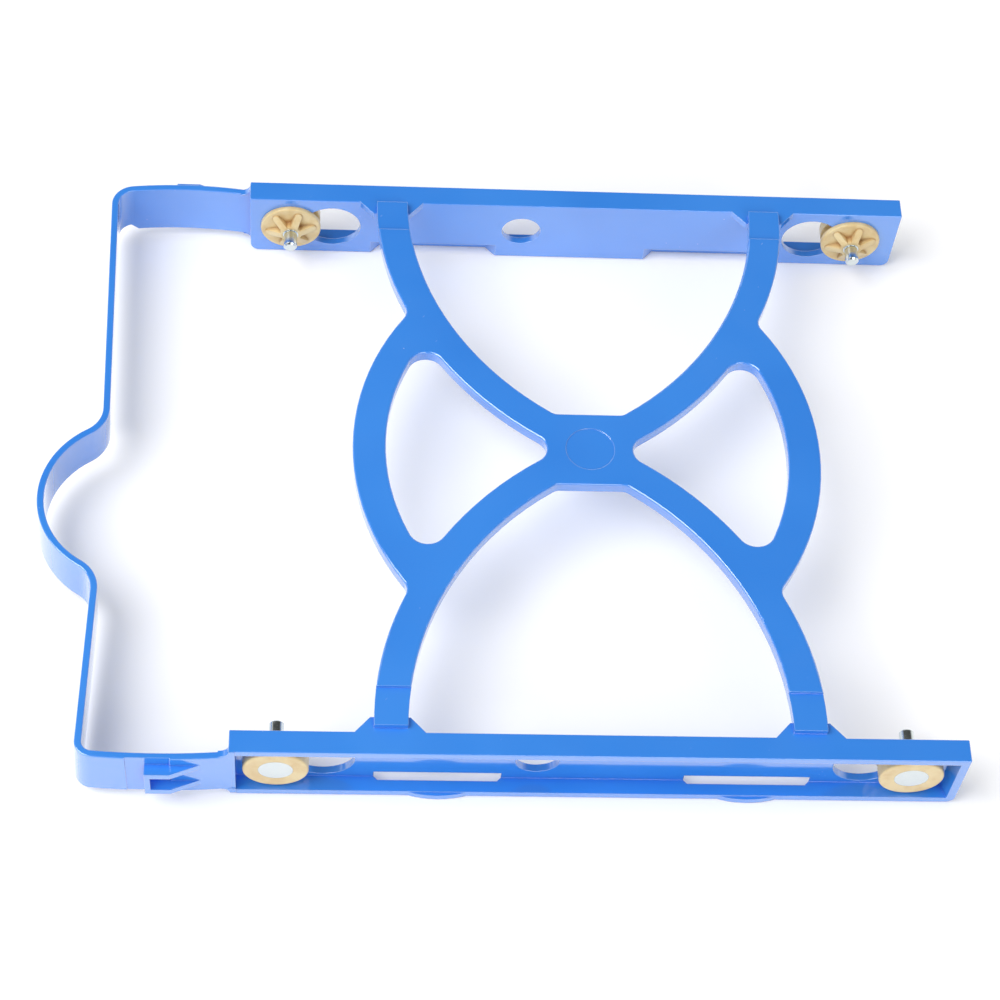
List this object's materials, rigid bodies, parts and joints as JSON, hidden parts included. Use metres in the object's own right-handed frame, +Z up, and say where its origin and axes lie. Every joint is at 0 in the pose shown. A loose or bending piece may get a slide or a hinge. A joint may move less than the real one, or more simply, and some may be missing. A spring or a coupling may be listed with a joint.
{
  "type": "hard drive caddy",
  "caption": "Tool-free plastic bracket that grips a 3.5 inch hard drive between two channel rails with rubber-mounted studs and pulls out of a bay by a flexible latching strap.",
  "frame": {"origin": "centre of the overall length and width, on the plane of the rails' undersides", "axes": "+X from the strap handle into the bay, +Y towards the left rail, +Z up"},
  "size_m": [0.1506, 0.118, 0.0162],
  "materials": {
    "tray_plastic": "glossy injection-moulded blue",
    "grommet_rubber": "tan moulded rubber, slightly glossy rim",
    "pin_steel": "bright plated steel"
  },
  "bodies": {
    "root": {"tray": "tray_plastic", "grommet_front_left": "grommet_rubber", "pin_front_left": "pin_steel", "grommet_front_right": "grommet_rubber", "pin_front_right": "pin_steel", "grommet_rear_left": "grommet_rubber", "pin_rear_left": "pin_steel", "grommet_rear_right": "grommet_rubber", "pin_rear_right": "pin_steel"}
  },
  "joints": []
}
